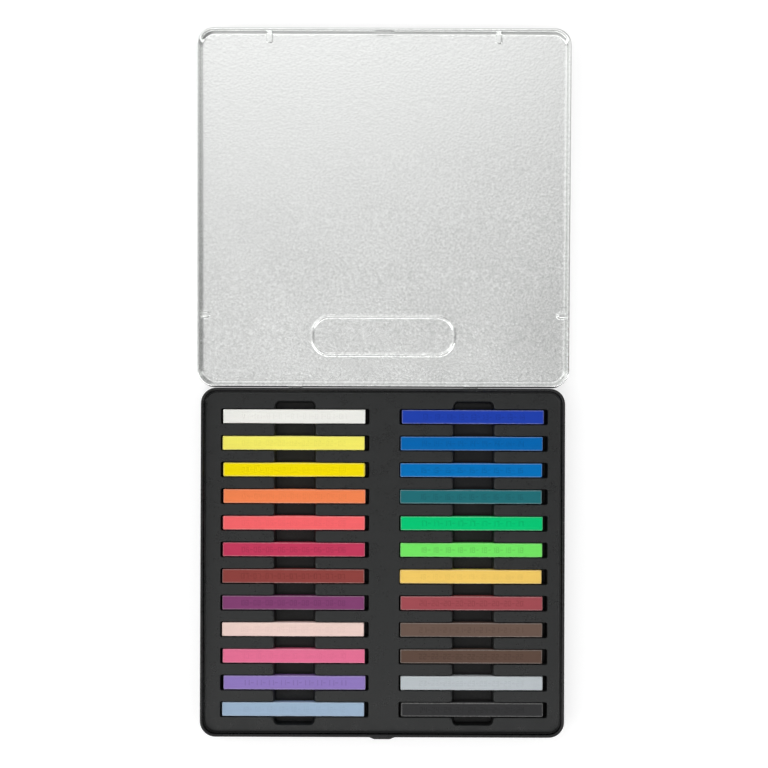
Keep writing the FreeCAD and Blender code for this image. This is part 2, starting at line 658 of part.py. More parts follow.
def repeat_rows(body, name, sketch, feature):
    """Repeat a feature of the front row for every row."""
    rows = body.newObject("PartDesign::LinearPattern", name)
    rows.Originals = [feature]
    rows.Direction = (sketch, ["V_Axis"])
    rows.setExpression("Length", "fits.row_span")
    rows.setExpression("Occurrences", "sizes.rows")
    body.Tip = rows
    doc.recompute()
    return rows


# Sticks


def build_stick(label, column, row, share):
    """One stick in its slot. The column is -1 or 1; the share says where it lies in its end play."""
    body = new_body(label)
    section = new_sketch(body, label + "_section", "YZ_Plane")
    half_side, half_flat = "sizes.stick_side / 2", "(sizes.stick_side / 2 - sizes.stick_edge)"
    low, high = "sizes.stick_edge", "sizes.stick_side - sizes.stick_edge"
    polygon(section, [("-" + half_flat, "0"), (half_flat, "0"), (half_side, low), (half_side, high),
                      (half_flat, "sizes.stick_side"), ("-" + half_flat, "sizes.stick_side"),
                      ("-" + half_side, high), ("-" + half_side, low)])
    extrude(body, "Pad", label + "_bar", section, "sizes.stick_length", both_ways=True)
    body.setExpression("Placement.Base.x", "fits.grid_right + %d * fits.column_pitch / 2 + "
                       "%g * sizes.slot_end_play" % (column, share))
    body.setExpression("Placement.Base.y", "fits.grid_back + fits.row_span / 2 - %d * fits.row_pitch" % row)
    body.setExpression("Placement.Base.z", "sizes.base_sheet + sizes.insert_film")
    doc.recompute()
    return body


def build_sticks():
    columns = ((-1, LEFT_COLOURS, LEFT_PLACE_SHARES), (1, RIGHT_COLOURS, RIGHT_PLACE_SHARES))
    sticks = []
    for column, colours, shares in columns:
        for row, (colour, share) in enumerate(zip(colours, shares)):
            label = "pastel_%02d_%s" % (len(sticks) + 1, colour)
            sticks.append(build_stick(label, column, row, share))
    return sticks


pieces = [build_base(), build_lid(), build_insert()] + build_sticks()
doc.recompute()

# Checks, then one file for each piece

for item in doc.Objects:
    if "Invalid" in item.State or "Error" in item.State:
        raise RuntimeError(item.Name + " failed: " + ", ".join(item.State))
for piece in pieces:
    if piece.Shape.isNull() or not piece.Shape.isValid() or len(piece.Shape.Solids) != 1:
        raise RuntimeError(piece.Label + " is not one valid solid")

os.makedirs("parts", exist_ok=True)
for piece in pieces:
    piece.Shape.exportStep("parts/%s.step" % piece.Label)
    box = piece.Shape.BoundBox
    print("%-24s %9.1f mm3  x %7.2f %7.2f  y %7.2f %7.2f  z %6.2f %6.2f" % (
        piece.Label, piece.Shape.Volume, box.XMin, box.XMax, box.YMin, box.YMax, box.ZMin, box.ZMax))
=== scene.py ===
import json
import math

import bmesh
import bpy
import numpy as np
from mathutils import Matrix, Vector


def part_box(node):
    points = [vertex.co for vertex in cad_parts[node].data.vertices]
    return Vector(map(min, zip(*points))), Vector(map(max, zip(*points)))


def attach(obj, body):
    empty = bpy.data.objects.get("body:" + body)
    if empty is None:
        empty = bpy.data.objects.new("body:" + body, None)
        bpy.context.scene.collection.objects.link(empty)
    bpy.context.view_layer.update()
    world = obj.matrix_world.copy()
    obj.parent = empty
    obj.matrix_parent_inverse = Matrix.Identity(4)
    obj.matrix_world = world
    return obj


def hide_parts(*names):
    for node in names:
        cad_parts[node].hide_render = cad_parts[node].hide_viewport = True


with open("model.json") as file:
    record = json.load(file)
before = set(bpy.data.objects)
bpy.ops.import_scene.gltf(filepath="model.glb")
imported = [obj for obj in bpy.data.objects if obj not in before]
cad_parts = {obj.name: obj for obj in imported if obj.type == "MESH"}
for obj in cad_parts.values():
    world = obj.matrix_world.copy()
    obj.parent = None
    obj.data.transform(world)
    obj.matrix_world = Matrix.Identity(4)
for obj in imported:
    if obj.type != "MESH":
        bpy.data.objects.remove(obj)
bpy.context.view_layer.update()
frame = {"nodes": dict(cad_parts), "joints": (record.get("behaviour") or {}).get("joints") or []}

bl_info = {
    "name": "Pastel tin",
    "version": (1, 0, 0),
    "blender": (4, 5, 0),
    "location": "3D View > Sidebar > Pastel tin",
    "description": "Dresses the open tin of square pastels with its sheet metal, tray and sticks",
    "category": "Object",
}

MM = 0.001

# Places that come from the frame, in millimetres


def node_box(node):
    """Lowest and highest corner of a CAD node at rest, in millimetres."""
    return np.array([corner[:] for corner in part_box(node)]) / MM


HINGE = next(joint for joint in frame["joints"] if joint["name"] == "lid_hinge")
HINGE_AXIS = np.array(HINGE["pos_m"]) / MM
OPEN_ANGLE = -math.radians(HINGE["range_deg"][0])
BASE_BOX = node_box("base_tin")
TRAY_BOX = node_box("stick_tray")
LID_BOX = node_box("lid")
STICKS = sorted(name for name in frame["nodes"] if name.startswith("pastel_"))
STICK_BOXES = {name: node_box(name) for name in STICKS}
STICK_SIDE = float(np.ptp(STICK_BOXES[STICKS[0]][:, 1]))

# Small fits of the hinge and the catch lip, in millimetres, as in the part's source
LUG_SIDE_GAP = 0.3
LUG_BLANK = 4.53
LIP_DROP = 0.9
LIP_ROOT = 14.8
LIP_TIP = 9.8
LIP_REACH = 1.1

# Rounded side of a lug: how far in from it, and the share of the sheet's thickness there
LUG_SIDE = ((0, 0.35), (0.03, 0.7), (0.09, 0.92), (0.2, 1))

# Angles in degrees at which the two rolled rims end
BASE_CURL_END = 250
LID_CURL_END = 125

# Pressed details of the lid, in millimetres, as in the part's source
LID_LENGTH = 178.1
REST_SPREAD = 116.2
REST_WIDTH = 3.3
REST_LENGTH = 5.5
REST_CORNER = 1.5
REST_SLOPE = 0.55
SIDE_REST_LENGTH = 4.4
SIDE_REST_PLACE = 36
CARTOUCHE_PLACE = 25.4
CARTOUCHE_LENGTH = 74
CARTOUCHE_WIDTH = 21
CARTOUCHE_CORNER = 9.5
CARTOUCHE_LINE = 1.6
CATCH_WIDTH = 11.6
CATCH_CREST = 7
CATCH_HEIGHT = 2.2
CATCH_LEVEL = 1.45
CATCH_DEPTH = 0.75
CATCH_SLOPE = 0.7

# Lines of the tray's grid across the wall of a slot and of a channel, in millimetres inside its mouth
SLOT_WALL = np.array((-0.75, -0.45, -0.3, -0.18, -0.06, 0.06, 0.18, 0.3, 0.42, 0.6))
CHANNEL_WALL = np.array((-0.8, -0.5, -0.3, -0.1, 0.1, 0.3, 0.5, 0.7, 0.9, 1.1))
SLOT_SLOPE = 0.3
CHANNEL_SLOPE = 0.85

# Each shade's colour as it looks on a screen, matched to the photograph, and how far its ends are
# worn round as a share of the largest wear
SHADES = {
    "white": ((247, 247, 241), 0.2),
    "lemon": ((252, 243, 107), 0.6),
    "yellow": ((252, 229, 0), 1.0),
    "orange": ((250, 136, 84), 0.7),
    "coral": ((253, 106, 110), 0.8),
    "crimson": ((201, 61, 95), 0.6),
    "brick": ((146, 68, 64), 0.6),
    "purple": ((134, 67, 116), 0.5),
    "blush": ((245, 215, 206), 0.7),
    "rose": ((235, 116, 153), 0.5),
    "lilac": ((149, 126, 196), 0.7),
    "sky": ((162, 186, 210), 0.5),
    "ultramarine": ((33, 66, 178), 0.7),
    "blue": ((0, 104, 180), 0.5),
    "azure": ((0, 116, 192), 0.6),
    "teal": ((34, 112, 120), 0.8),
    "emerald": ((0, 204, 120), 0.5),
    "lime": ((118, 237, 102), 0.7),
    "ochre": ((249, 208, 105), 0.9),
    "russet": ((165, 79, 86), 0.6),
    "umber": ((109, 89, 79), 0.5),
    "sepia": ((97, 76, 66), 0.7),
    "silver_grey": ((192, 199, 203), 0.5),
    "black": ((56, 56, 57), 0.8),
}

# Strokes of the pressed figures, lettered clockwise from the top with the middle last. Each joins two
# points of a cell one wide and two high.
STROKES = {
    "a": ((0, 2), (1, 2)), "b": ((1, 1), (1, 2)), "c": ((1, 0), (1, 1)), "d": ((0, 0), (1, 0)),
    "e": ((0, 0), (0, 1)), "f": ((0, 1), (0, 2)), "g": ((0, 1), (1, 1)),
}
FIGURES = {"0": "abcdef", "1": "bc", "2": "abged", "3": "abgcd", "4": "fgbc", "5": "afgcd",
           "6": "afgecd", "7": "abc", "8": "abcdefg", "9": "abcdfg", "-": "g"}

# Distance between two figures, and the gap before the first stroke of one, as shares of a cell
FIGURE_PITCH = 1.7
FIGURE_GAP = 0.35

# Distance from the middle within which the columns of a grid stay straight, in millimetres
LID_HELD = 80
TRAY_HELD = 84

# Least share of an outward direction along Y on a straight front or rear wall
STRAIGHT = 0.99

# Half the picture's width and the distance to it, both in pixels
HALF_PICTURE = 384
PICTURE_DISTANCE = 1660.8


# Sizes and colours that a user would change


def length(name, description, default):
    """Length property. The default is given in millimetres."""
    return bpy.props.FloatProperty(name=name, description=description, default=default * MM,
                                   unit="LENGTH", precision=5)


def angle(name, description, default):
    """Angle property. The default is given in radians."""
    return bpy.props.FloatProperty(name=name, description=description, default=default, unit="ROTATION")


def number(name, description, default):
    """Plain number, such as a brightness."""
    return bpy.props.FloatProperty(name=name, description=description, default=default)


def colour(name, description, default):
    """Colour property, in linear light."""
    return bpy.props.FloatVectorProperty(name=name, description=description, default=default,
                                         subtype="COLOR", size=3, min=0, max=1)


class TinSettings(bpy.types.PropertyGroup):
    """Sheet metal of the base, the lid and their hinge"""

    sheet: length("Sheet", "Thickness of the tinplate", 0.3)
    fold: length("Fold", "Outer radius where the walls meet the floor or the panel", 1.5)
    base_corner: length("Base corner", "Corner radius of the base", 7.9)
    base_roll: length("Base roll", "Radius of the rim rolled inwards", 0.75)
    lid_corner: length("Lid corner", "Corner radius of the outer wall of the lid", 7.6)
    lid_roll: length("Lid roll", "Radius of the rim rolled outwards", 0.8)
    lid_depth: length("Lid depth", "Height of the lid without the lower half of its roll", 6.7)
    window_start: length("Window start", "From the middle of the lid to a hinge window", 40.55)
    window_width: length("Window width", "Width of a hinge window", 12.4)
    window_height: length("Window height", "Height of a hinge window", 1.45)
    lug_width: length("Lug width", "Width of a hinge lug", 7.2)
    lug_gap: length("Lug gap", "Gap between a lug and the rolled rim", 0.1)
    rest_rise: length("Rest height", "How far the four rests stand into the lid", 0.9)
    cartouche_rise: length("Cartouche height", "How far the pressed oval line stands into the lid", 0.35)
    tinplate: colour("Tinplate", "Bare metal of the lid", (0.84, 0.85, 0.84))
    lacquer: colour("Lacquer", "Black lacquer of the base", (0.011, 0.011, 0.0115))


class TraySettings(bpy.types.PropertyGroup):
    """Formed film with its slots and finger channels"""

    film: length("Film", "Thickness of the formed plastic", 0.5)
    spread: length("Spread", "How much further the thin film reaches than its plain box", 0.14)
    corner: length("Corner", "Corner radius of the tray", 6.34)
    fillet: length("Fillet", "Radius where the face turns up into its edge", 0.8)
    edge_rise: length("Edge height", "How far the edge stands above the face", 1.9)
    column_pitch: length("Column pitch", "Distance between the two columns of slots", 90.5)
    grid_right: length("Grid right", "How far the slots lie right of the middle of the tray", 0.75)
    slot_length: length("Slot length", "Mouth of a slot along the stick", 74.8)
    slot_width: length("Slot width", "Mouth of a slot across the stick", 7.5)
    slot_depth: length("Slot depth", "Depth of a slot", 7.4)
    slot_corner: length("Slot corner", "Corner radius of a slot seen from above", 0.8)
    channel_width: length("Channel width", "Mouth of a finger channel", 20.4)
    channel_depth: length("Channel depth", "Depth of a finger channel", 5)
    channel_corner: length("Channel corner", "Corner radius of a channel seen from above", 2.4)
    channel_end: length("Channel end", "Channel beyond the outer sticks", 4.2)
    shoulder: length("Shoulder", "Soft rounding at the mouth of each hollow", 0.3)
    plastic: colour("Plastic", "Black plastic of the tray", (0.0095, 0.0105, 0.0105))


class StickSettings(bpy.types.PropertyGroup):
    """Wear and pressed figures of the sticks"""

    edge: length("Edge", "Wear of the long edges", 0.3)
    most_wear: length("Most wear", "Largest radius worn on the end of a stick", 0.8)
    figure_height: length("Figure height", "Height of the pressed numbers", 2.4)
    figure_stroke: length("Figure stroke", "Width of a pressed stroke", 0.36)
    figure_depth: length("Figure depth", "Depth of a pressed stroke", 0.09)
    line_length: length("Line length", "Length of the pressed line of numbers", 54.0)


class StageSettings(bpy.types.PropertyGroup):
    """Camera, room, lights and floor"""

    camera_height: length("Camera height", "Height of the camera above the floor", 850)
    camera_x: length("Camera X", "Place of the camera to the right", 0.45)
    camera_y: length("Camera Y", "Place of the camera towards the hinge", 90.2)
    camera_angle: angle("Camera angle", "Field of view of the camera",
                        2 * math.atan(HALF_PICTURE / PICTURE_DISTANCE))
    camera_roll: angle("Camera roll", "Turn of the camera about its line of sight", math.radians(0.2))
    zenith_light: number("Zenith", "Brightness of the ceiling above the tin", 0.71)
    rear_light: number("Rear light", "How much the ceiling brightens towards the rear", 0.82)
    front_light: number("Front window", "Brightness added in a strip towards the front", 3.9)
    left_light: number("Left window", "Brightness added low on the left", 0.1)
    key_light: number("Key light", "Power of the large light behind the lid in watts", 0.25)
    floor: colour("Floor", "Colour of the floor", (0.5, 0.5, 0.5))
    floor_glow: number("Floor glow", "Glow of the floor seen by the camera", 0.62)


class Sizes:
    """Lengths of a property group, read in millimetres."""

    def __init__(self, settings):
        self.settings = settings

    def __getattr__(self, name):
        return getattr(self.settings, name) / MM


# Surfaces as whole arrays of points, in millimetres


def quads_of(grid):
    """Quads of a table of point numbers, one between each two rows and columns."""
    corners = (grid[:-1, :-1], grid[:-1, 1:], grid[1:, 1:], grid[1:, :-1])
    return np.stack(corners, axis=-1).reshape(-1, 4)


def rim_of(grid):
    """Point numbers round the border of a table, against the clock from its first corner."""
    return np.concatenate((grid[0, :-1], grid[:-1, -1], grid[-1, :0:-1], grid[:0:-1, 0]))


def strip(first, second):
    """Quads between two closed loops with the same number of points."""
    return np.stack((first, np.roll(first, -1), np.roll(second, -1), second), axis=-1)


def tube_faces(stations, around):
    """Faces of a closed tube: the quads between its rings of points, and its two ends."""
    loops = np.arange(stations * around).reshape(stations, around)
    sides = [strip(one, two) for one, two in zip(loops, loops[1:])]
    return [*sides, loops[0][None, ::-1], loops[-1][None, :]]


def apart(places, gap, digits=4):
    """Sorted places, without those that nearly meet the one before."""
    places = np.unique(np.round(places, digits))
    return places[np.concatenate(([True], np.diff(places) > gap))]


def lines(*stretches):
    """Sorted places from stretches of (start, end, step), merged where they nearly meet."""
    return apart(np.concatenate([np.linspace(start, end, max(2, int(round((end - start) / step)) + 1))
                                 for start, end, step in stretches]), 0.04)


def both_signs(places):
    """Places and their mirror images about zero, sorted."""
    return np.unique(np.concatenate((-places, places)))


def mirrored(start, width):
    """A stretch along X and its mirror image, each as (from x, to x), the left one first."""
    centre = start + width / 2
    return [(side * centre - width / 2, side * centre + width / 2) for side in (-1, 1)]


def corner_rows(south, north, radius, steps):
    """Places of rows that follow the round corners: radius times one minus the sine."""
    turns = radius * (1 - np.sin(np.linspace(0, math.pi / 2, steps)))
    return np.concatenate((south + turns, north - turns))


def rounded_plate(columns, rows, half_width, south, north, radius, held):
    """Grid of points in a rectangle with round corners. Rows are straight. Beyond the held distance
    from the middle, columns are drawn in so that each row ends on the corner's circle."""
    x, y = np.meshgrid(columns, rows)
    middle, half_length = (south + north) / 2, (north - south) / 2
    beyond = np.clip(np.abs(y - middle) - (half_length - radius), 0, radius)
    edge = half_width - radius + np.sqrt(np.maximum(radius ** 2 - beyond ** 2, 0))
    drawn = held + (np.abs(x) - held) * (edge - held) / (half_width - held)
    return np.where(np.abs(x) > held, np.sign(x) * drawn, x), y


def border_of(x, y, plate):
    """Places round the border of a plate's grid, and the outward direction at each: away from the
    nearest point of the smaller rectangle that the plate's corner circles are centred on."""
    half_width, south, north, radius = plate
    around = rim_of(np.arange(x.size).reshape(x.shape))
    x, y = x.ravel()[around], y.ravel()[around]
    middle, half_length = (south + north) / 2, (north - south) / 2
    away_x = np.sign(x) * np.maximum(np.abs(x) - (half_width - radius), 0)
    away_y = np.sign(y - middle) * np.maximum(np.abs(y - middle) - (half_length - radius), 0)
    size = np.hypot(away_x, away_y)
    return x, y, away_x / size, away_y / size


def ring(border, reach, height):
    """Points at a height, moved out from a border by a reach."""
    x, y, out_x, out_y = border
    return np.stack((x + out_x * reach, y + out_y * reach, np.full_like(x, height)), axis=-1)


def joined(first, last, rings):
    """Two grids of points whose borders are joined by rings. Gives all points, the loops of point
    numbers from one border to the other, and the quads of the two grids."""
    grid = np.arange(first[..., 0].size).reshape(first.shape[:-1])
    border = rim_of(grid)
    shift = grid.size + len(border) * len(rings)
    between = np.arange(grid.size, shift).reshape(len(rings), len(border))
    points = np.concatenate((first.reshape(-1, 3), *rings, last.reshape(-1, 3)))
    return points, [border, *between, border + shift], [quads_of(grid), quads_of(grid + shift)[:, ::-1]]


def arc(centre, radius, start, end, steps):
    """Points of an arc between two angles in degrees, as (steps, 2)."""
    turn = np.radians(np.linspace(start, end, steps))
    return np.stack((centre[0] + radius * np.cos(turn), centre[1] + radius * np.sin(turn)), axis=-1)


def soft_step(t):
    """Smooth rise from 0 to 1: 3 t^2 - 2 t^3 between 0 and 1."""
    t = np.clip(t, 0, 1)
    return t * t * (3 - 2 * t)


def into_round_box(x, y, box, radius):
    """How far a point lies inside a rectangle with round corners, negative outside it. The box is
    its middle and half sizes."""
    centre_x, centre_y, half_x, half_y = box
    over_x = np.abs(x - centre_x) - (half_x - radius)
    over_y = np.abs(y - centre_y) - (half_y - radius)
    outside = np.hypot(np.maximum(over_x, 0), np.maximum(over_y, 0))
    return radius - outside - np.minimum(np.maximum(over_x, over_y), 0)


def blended(first, second, width):
    """Larger of two values, blended smoothly where they differ by less than the width."""
    share = np.maximum(width - np.abs(first - second), 0) / width
    return np.maximum(first, second) + share * share * width / 4


def unevenness(x, y, z, seed):
    """Small waves between -1 and 1 that never repeat within the piece: a sum of four sines."""
    total = np.zeros_like(x + y + z)
    for turn in range(4):
        a, b, c = np.sin(seed * 1.7 + np.array((1.3, 2.9, 4.1)) * (turn + 1)) * (1.6 + 1.9 * turn)
        total += np.sin(a * x + b * y + c * z + seed * (turn + 2)) / (turn + 1)
    return total / 2.1


def normals_of(surface):
    """Unit normals of a grid of points: the cross product of its two directions."""
    normal = np.cross(np.gradient(surface, axis=1), np.gradient(surface, axis=0))
    return normal / np.linalg.norm(normal, axis=-1, keepdims=True)


def placed(name, data):
    """New object of the scene that shows a mesh, a light or a camera."""
    thing = bpy.data.objects.new(name, data)
    bpy.context.scene.collection.objects.link(thing)
    return thing


def new_piece(name, points, faces, body, material, replaces=None, crease=50):
    """Mesh object from points in millimetres and arrays of faces. It rides on a body."""
    mesh = bpy.data.meshes.new(name)
    mesh.from_pydata((np.asarray(points) * MM).tolist(), [],
                     [face for block in faces for face in np.asarray(block).tolist()])
    outward_faces(mesh)
    mesh.polygons.foreach_set("use_smooth", np.ones(len(mesh.polygons), bool))
    mesh.set_sharp_from_angle(angle=math.radians(crease))
    mesh.materials.append(material)
    piece = placed(name, mesh)
    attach(piece, body)
    if replaces:
        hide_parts(replaces)
    return piece


def outward_faces(mesh):
    """Turn every face of a closed mesh outwards."""
    work = bmesh.new()
    work.from_mesh(mesh)
    bmesh.ops.recalc_face_normals(work, faces=work.faces)
    work.to_mesh(mesh)
    work.free()
    mesh.update()


def section_of(folds, curls, reaches, levels, rising):
    """Profile of a pressed sheet: inner fold, inner wall, the curl's two faces, outer wall and outer
    fold, as points of how far out from the flat part and how high. The inner wall rises or falls
    through the levels and the outer one runs back. Also gives the loops of both walls by level."""
    order = 1 if rising else -1
    inner, outer = (np.stack((np.full(len(levels), reach), levels[::step]), axis=-1)
                    for reach, step in zip(reaches, (order, -order)))
    parts = (folds[0], inner, *curls, outer, folds[1])
    first = np.cumsum([1, *(len(part) for part in parts)])
    steps = np.arange(len(levels))
    return np.concatenate(parts), ((first[1] + steps)[::order], (first[4] + steps)[::-order])


def nothing(x, *place):
    """No depth at any place."""
    return np.zeros_like(x)


def pressed_sheet(columns, rows, plate, held, levels, section, windows, press=nothing, dent=nothing,
                  capped=False):
    """Closed mesh of a pressed tin: a flat plate of two faces joined by a profile carried round it.

    The plate is (half width, south, north, radius) of its flat part, and the levels are the heights
    of its two faces. The section is the profile and the loops of its two walls. Windows are (from x,
    to x, lowest step, highest step) of the walls, cut through both on the north side. Press gives
    the depth of what is pressed into the plate at a place, and dent how far the wall is pushed in.
    A capped profile stays under the pressed faces."""
    profile, walls = section
    x, y = rounded_plate(columns, rows, *plate, held)
    depth = press(x, y)
    border = border_of(x, y, plate)
    edge_x, edge_y, _, out_y = border
    rings = []
    for place, (reach, height) in enumerate(profile):
        points = ring(border, reach - dent(edge_x, edge_y, height, out_y), height)
        if capped:
            level = levels[0 if place < len(profile) // 2 else 1]
            points[:, 2] = np.minimum(height, level - press(points[:, 0], points[:, 1]))
        rings.append(points)
    faces = [np.stack((x, y, level - depth), axis=-1) for level in levels]
    points, loops, quads = joined(*faces, rings)
    middle = (edge_x + np.roll(edge_x, -1)) / 2
    north = (out_y > STRAIGHT) & (np.roll(out_y, -1) > STRAIGHT)
    holes = [((middle > start) & (middle < end) & north, low, high) for start, end, low, high in windows]
    for place, (one, two) in enumerate(zip(loops, loops[1:])):
        keep = np.ones(len(edge_x), bool)
        for hole, low, high in holes:
            for wall in walls:
                if min(wall[low], wall[high]) <= place < max(wall[low], wall[high]):
                    keep &= ~hole
        quads.append(strip(one, two)[keep])
    for hole, low, high in holes:
        spots = np.flatnonzero(hole)
        across = np.concatenate((spots, [(spots[-1] + 1) % len(edge_x)]))
        sides = np.array([[loops[place] for place in wall[low:high + 1]] for wall in walls])
        quads += [quads_of(sides[:, step, across]) for step in (0, -1)]
        quads += [quads_of(sides[:, :, spot]) for spot in (across[0], across[-1])]
    return points, quads


def opened(points):
    """Turn points of the shut lid, given from the hinge axis, to the open angle about minus X."""
    cosine, sine = math.cos(OPEN_ANGLE), math.sin(OPEN_ANGLE)
    x, y, z = points.T
    return np.stack((x, y * cosine + z * sine, -y * sine + z * cosine), axis=-1) + HINGE_AXIS


# Node groups and materials


def node(tree, kind, inputs=None, **settings):
    """New node of a tree with its settings and the values or links of its inputs."""
    made = tree.nodes.new(kind)
    for key, value in settings.items():
        setattr(made, key, value)
    for key, value in (inputs or {}).items():
        socket = input_socket(made, key)
        if isinstance(value, bpy.types.NodeSocket):
            tree.links.new(value, socket)
        else:
            socket.default_value = value
    return made


def input_socket(made, key):
    """Input of a node by its number or name. Of several with one name, the one in use."""
    if isinstance(key, int):
        return made.inputs[key]
    return next(socket for socket in made.inputs if socket.name == key and socket.enabled)


def new_group(name, inputs, outputs):
    """Shader node group with named sockets. Inputs are (name, kind, default)."""
    group = bpy.data.node_groups.new(name, "ShaderNodeTree")
    for label, kind, default in inputs:
        socket = group.interface.new_socket(label, in_out="INPUT", socket_type="NodeSocket" + kind)
        socket.default_value = default
    for label, kind in outputs:
        group.interface.new_socket(label, in_out="OUTPUT", socket_type="NodeSocket" + kind)
    return group, group.nodes.new("NodeGroupInput").outputs, group.nodes.new("NodeGroupOutput").inputs


def shared(name, maker):
    """Node group made once and found again by name."""
    return bpy.data.node_groups.get(name) or maker(name)


def noise(tree, scale, detail, stretch=(1, 1, 1), roughness=0.5):
    """Noise on Object coordinates, with its grains stretched along the axes."""
    place = node(tree, "ShaderNodeTexCoord").outputs["Object"]
    turned = node(tree, "ShaderNodeMapping", {"Vector": place, "Scale": stretch})
    return node(tree, "ShaderNodeTexNoise", {"Vector": turned.outputs["Vector"], "Scale": scale,
                                             "Detail": detail, "Roughness": roughness}).outputs["Fac"]


def maths(tree, operation, first, second):
    """Result of a Math node on two values or links."""
    return node(tree, "ShaderNodeMath", {0: first, 1: second}, operation=operation).outputs[0]


def ranged(tree, value, low, high, to_low, to_high, smooth=False):
    """Value carried from one range to another and held at its ends, evenly or by a smooth step."""
    return node(tree, "ShaderNodeMapRange",
                {"Value": value, "From Min": low, "From Max": high, "To Min": to_low, "To Max": to_high},
                interpolation_type="SMOOTHSTEP" if smooth else "LINEAR").outputs["Result"]


def blend(tree, share, first, second):
    """Mix of two values, or of two colours when one of them is a colour."""
    is_colour = any(isinstance(value, tuple) for value in (first, second))
    made = node(tree, "ShaderNodeMix", {"Factor": share, "A": first, "B": second},
                data_type="RGBA" if is_colour else "FLOAT")
    return next(output for output in made.outputs if output.enabled)


def scaled(tree, tint, factor):
    """Colour times a factor."""
    made = node(tree, "ShaderNodeVectorMath", {0: tint}, operation="SCALE")
    tree.links.new(factor, made.inputs["Scale"])
    return made.outputs[0]


def uneven_factor(tree, mixed, strength):
    """One plus the strength times how far the sum of two noises lies from its mean of one."""
    centred = maths(tree, "SUBTRACT", mixed, 1.0)
    return maths(tree, "ADD", maths(tree, "MULTIPLY", centred, strength), 1.0)


def mottle_group(name):
    """Fine uneven brightness and relief: two sizes of noise that tint a colour and push the normal."""
    group, given, out = new_group(
        name,
        [("Color", "Color", (0.5, 0.5, 0.5, 1)), ("Fine Scale", "Float", 900.0),
         ("Coarse Scale", "Float", 90.0), ("Tint", "Float", 0.1), ("Height", "Float", 0.00002)],
        [("Color", "Color"), ("Normal", "Vector"), ("Mask", "Float")])
    fine = noise(group, given["Fine Scale"], 1)
    mixed = maths(group, "ADD", fine, noise(group, given["Coarse Scale"], 4))
    group.links.new(scaled(group, given["Color"], uneven_factor(group, mixed, given["Tint"])), out["Color"])
    bump = node(group, "ShaderNodeBump", {"Height": fine, "Distance": given["Height"]})
    group.links.new(bump.outputs["Normal"], out["Normal"])
    group.links.new(mixed, out["Mask"])
    return group


def chalk_group(name):
    """Pressed pigment: streaks along the stick, fine grains, pressed figures darkened as painted shade,
    worn edges lightened in patches as a painted highlight, and a dusty relief."""
    group, given, out = new_group(
        name,
        [("Color", "Color", (0.5, 0.5, 0.5, 1)), ("Streaks", "Float", 0.12), ("Pale", "Float", 0.25),
         ("Groove Shade", "Float", 0.14)],
        [("Color", "Color"), ("Roughness", "Float"), ("Normal", "Vector")])
    streaks = noise(group, 60, 5, stretch=(1, 14, 14), roughness=0.6)
    mixed = maths(group, "ADD", streaks, noise(group, 2600, 2))
    pressed, wear = (node(group, "ShaderNodeAttribute", attribute_name=label).outputs["Fac"]
                     for label in ("pressed", "wear"))
    # Painted shade: the colour darkens in the pressed strokes by their share of the full depth
    factor = maths(group, "SUBTRACT", uneven_factor(group, mixed, given["Streaks"]),
                   maths(group, "MULTIPLY", pressed, given["Groove Shade"]))
    # Painted highlight: the worn edges and ends are blended towards near white in patches
    highlight_patches = maths(group, "MULTIPLY", wear, noise(group, 900, 3))
    edge_highlighted = blend(group, maths(group, "MULTIPLY", highlight_patches, given["Pale"]),
                   scaled(group, given["Color"], factor), (0.95, 0.95, 0.93, 1))
    group.links.new(edge_highlighted, out["Color"])
    group.links.new(ranged(group, streaks, 0.3, 0.7, 0.75, 0.95), out["Roughness"])
    bump = node(group, "ShaderNodeBump", {"Height": mixed, "Distance": 0.00006, "Strength": 0.6})
    group.links.new(bump.outputs["Normal"], out["Normal"])
    return group


def plain_material(name, constants):
    """Material with a Principled shader, its nodes, and the shader's inputs with their constants."""
    material = bpy.data.materials.new(name)
    material.use_nodes = True
    shader = material.node_tree.nodes["Principled BSDF"].inputs
    for key, value in constants.items():
        shader[key].default_value = value
    return material, material.node_tree, shader


def new_material(name, group, values, constants):
    """Plain material whose colour and normal come from a group with the given values."""
    material, tree, shader = plain_material(name, constants)
    made = node(tree, "ShaderNodeGroup", node_tree=group)
    for key, value in values.items():
        made.inputs[key].default_value = value
    tree.links.new(made.outputs["Color"], shader["Base Color"])
    tree.links.new(made.outputs["Normal"], shader["Normal"])
    return material, tree, shader, made


def tinplate_material(settings, name):
    """Satin bare tinplate with the fine grain of its rolled surface, which shows more near the hinge."""
    material, tree, shader, mottle = new_material(
        name, shared("mottle", mottle_group),
        {"Color": (*settings.tinplate, 1), "Fine Scale": 800.0, "Coarse Scale": 1700.0,
         "Height": 0.00004},
        {"Metallic": 1})
    place = node(tree, "ShaderNodeTexCoord").outputs["Object"]
    skewed = node(tree, "ShaderNodeVectorMath", {0: place, 1: (-0.3, 1, 0)}, operation="DOT_PRODUCT")
    grain = ranged(tree, skewed.outputs["Value"], 0.24, 0.12, 0.1, 0.46, smooth=True)
    tree.links.new(grain, mottle.inputs["Tint"])
    tree.links.new(ranged(tree, noise(tree, 30, 3), 0.3, 0.7, 0.2, 0.24), shader["Roughness"])
    return material


def lacquer_material(settings):
    """Glossy black lacquer on tin, with a faint orange peel."""
    material, tree, shader, mottle = new_material(
        "black_lacquer", shared("mottle", mottle_group),
        {"Color": (*settings.lacquer, 1), "Fine Scale": 500.0, "Coarse Scale": 60.0, "Tint": 0.5,
         "Height": 0.000005},
        {"Specular IOR Level": 0.3})
    tree.links.new(ranged(tree, mottle.outputs["Mask"], 0.7, 1.3, 0.24, 0.36), shader["Roughness"])
    return material


